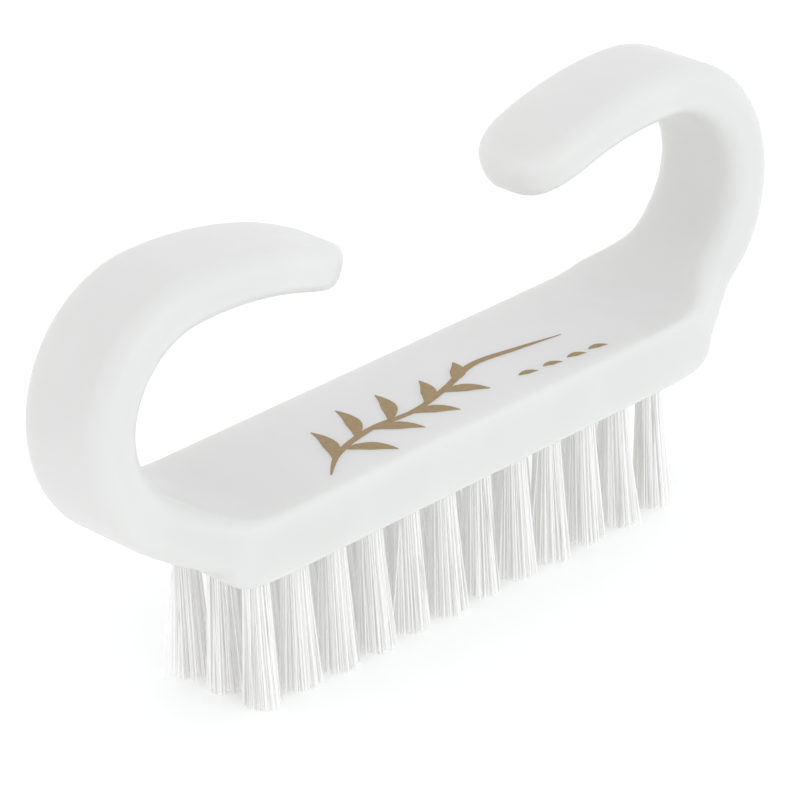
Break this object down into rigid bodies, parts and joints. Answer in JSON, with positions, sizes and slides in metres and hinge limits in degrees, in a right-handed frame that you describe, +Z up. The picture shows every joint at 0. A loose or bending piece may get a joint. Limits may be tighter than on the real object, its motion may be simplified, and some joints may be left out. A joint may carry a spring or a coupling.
{
  "type": "nail brush",
  "caption": "Moulded plastic nail brush: a flat bar with tufts of white nylon bristle below and a finger hook curling up and inwards at each end.",
  "frame": {"origin": "under the middle of the bar, on the plane of the bristle tips", "axes": "+X along the bar, +Y across it, +Z up, away from the bristles"},
  "size_m": [0.0664, 0.013, 0.0338],
  "materials": {
    "milky_plastic": "milky white translucent moulded plastic, smooth semi-gloss",
    "nylon_bristle": "fine white nylon filament, slightly translucent",
    "gold_ink": "thin printed ochre-gold ink ornament",
    "anchor_wire": "flat drawn wire"
  },
  "bodies": {
    "root": {"brush_body": "milky_plastic", "tuft_r1_c01": "nylon_bristle", "tuft_r1_c02": "nylon_bristle", "tuft_r1_c03": "nylon_bristle", "tuft_r1_c04": "nylon_bristle", "tuft_r1_c05": "nylon_bristle", "tuft_r1_c06": "nylon_bristle", "tuft_r1_c07": "nylon_bristle", "tuft_r1_c08": "nylon_bristle", "tuft_r1_c09": "nylon_bristle", "tuft_r1_c10": "nylon_bristle", "tuft_r1_c11": "nylon_bristle", "tuft_r1_c12": "nylon_bristle", "tuft_r2_c01": "nylon_bristle", "tuft_r2_c02": "nylon_bristle", "tuft_r2_c03": "nylon_bristle", "tuft_r2_c04": "nylon_bristle", "tuft_r2_c05": "nylon_bristle", "tuft_r2_c06": "nylon_bristle", "tuft_r2_c07": "nylon_bristle", "tuft_r2_c08": "nylon_bristle", "tuft_r2_c09": "nylon_bristle", "tuft_r2_c10": "nylon_bristle", "tuft_r2_c11": "nylon_bristle", "tuft_r2_c12": "nylon_bristle", "tuft_r3_c01": "nylon_bristle", "tuft_r3_c02": "nylon_bristle", "tuft_r3_c03": "nylon_bristle", "tuft_r3_c04": "nylon_bristle", "tuft_r3_c05": "nylon_bristle", "tuft_r3_c06": "nylon_bristle", "tuft_r3_c07": "nylon_bristle", "tuft_r3_c08": "nylon_bristle", "tuft_r3_c09": "nylon_bristle", "tuft_r3_c10": "nylon_bristle", "tuft_r3_c11": "nylon_bristle", "tuft_r3_c12": "nylon_bristle"}
  },
  "joints": []
}
